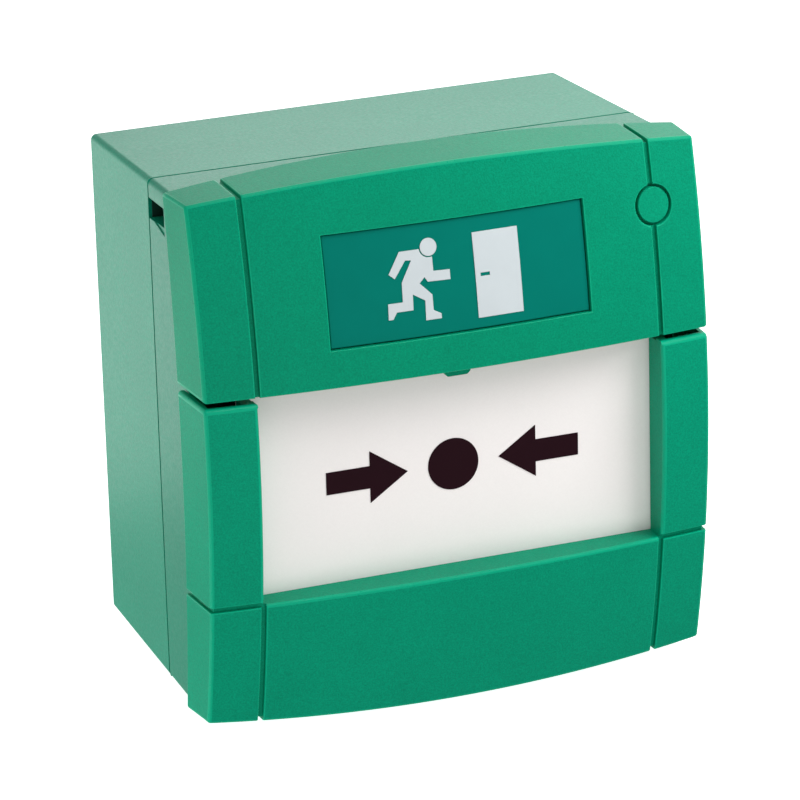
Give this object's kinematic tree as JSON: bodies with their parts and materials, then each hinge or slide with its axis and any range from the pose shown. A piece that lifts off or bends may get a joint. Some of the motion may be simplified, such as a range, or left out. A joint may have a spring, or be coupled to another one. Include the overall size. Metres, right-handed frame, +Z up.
{
  "type": "manual call point",
  "caption": "Square green emergency door release call point on a surface back box, with a hinged top cover and a press plate in a window.",
  "frame": {"origin": "centre of the back box mounting face", "axes": "+Z up, front faces -Y, +X to the viewer's right, +Y into the wall"},
  "size_m": [0.089, 0.0601, 0.0931],
  "materials": {
    "box_green": "fine spark-eroded moulded plastic",
    "housing_green": "fine spark-eroded moulded plastic",
    "cover_green": "fine spark-eroded moulded plastic",
    "gasket_rubber": "soft foam rubber",
    "brass_parts": "turned brass",
    "steel_parts": "zinc plated",
    "spring_steel": "drawn spring steel",
    "sign_teal": "printed polycarbonate film",
    "sign_white": "printed film",
    "plate_white": "satin moulded plastic",
    "symbol_black": "screen print",
    "black_plastic": "satin moulded plastic",
    "flag_yellow": "satin moulded plastic",
    "board_green": "solder resist",
    "board_component": "lacquered component body",
    "terminal_green": "satin moulded plastic",
    "switch_grey": "satin moulded plastic",
    "plunger_red": "satin moulded plastic",
    "cam_ivory": "satin moulded plastic"
  },
  "bodies": {
    "base": {"back_box": "box_green", "joint_gasket": "gasket_rubber", "post_inserts": "brass_parts", "earth_terminal": "brass_parts", "earth_screw": "brass_parts", "front_housing": "housing_green", "hinge_pins": "steel_parts", "return_springs": "spring_steel", "chassis": "black_plastic", "chassis_screws": "steel_parts", "unit_screws": "steel_parts", "circuit_board": "board_green", "board_screws": "steel_parts", "board_parts": "board_component", "terminal_block": "terminal_green", "terminal_cages": "steel_parts", "terminal_screws": "steel_parts", "switch_body": "switch_grey", "switch_terminals": "brass_parts", "switch_screws": "steel_parts", "lever_pin": "steel_parts"},
    "cover": {"top_cover": "cover_green", "sign_panel": "sign_teal", "pictogram": "sign_white", "indicator_blank": "cover_green"},
    "plate": {"operating_plate": "plate_white", "plate_symbols": "symbol_black", "plate_carrier": "black_plastic"},
    "flag": {"drop_flag": "flag_yellow"},
    "lever": {"switch_lever": "spring_steel"},
    "plunger": {"switch_plunger": "plunger_red"},
    "cam": {"key_cam": "cam_ivory", "cam_clip": "spring_steel"}
  },
  "joints": [
    {"name": "cover_hinge", "type": "hinge", "parent": "base", "child": "cover", "pos_m": [0, -0.044, 0.0447], "axis": [-1, 0, 0], "range_deg": [0, 55]},
    {"name": "plate_press", "type": "slide", "parent": "base", "child": "plate", "axis": [0, 1, 0], "range_m": [0, 0.0025], "stiffness_N_per_m": 1200, "springref_m": -0.0005, "deforming": ["return_springs"]},
    {"name": "flag_fall", "type": "slide", "parent": "base", "child": "flag", "axis": [0, 0, -1], "range_m": [0, 0.0045]},
    {"name": "lever_turn", "type": "hinge", "parent": "base", "child": "lever", "pos_m": [-0.009, -0.0381, -0.0068], "axis": [0, 0, 1], "range_deg": [0, 11]},
    {"name": "plunger_slide", "type": "slide", "parent": "base", "child": "plunger", "axis": [0, 1, 0], "range_m": [0, 0.00115]},
    {"name": "cam_turn", "type": "hinge", "parent": "base", "child": "cam", "pos_m": [0, -0.05, -0.035], "axis": [0, 0, 1], "range_deg": [0, 90]}
  ],
  "couplings": [
    {"joint": "flag_fall", "follows": "plate_press", "ratio": 1.8},
    {"joint": "lever_turn", "follows": "plate_press", "rad_per_m": 76},
    {"joint": "plunger_slide", "follows": "plate_press", "ratio": 0.46}
  ]
}
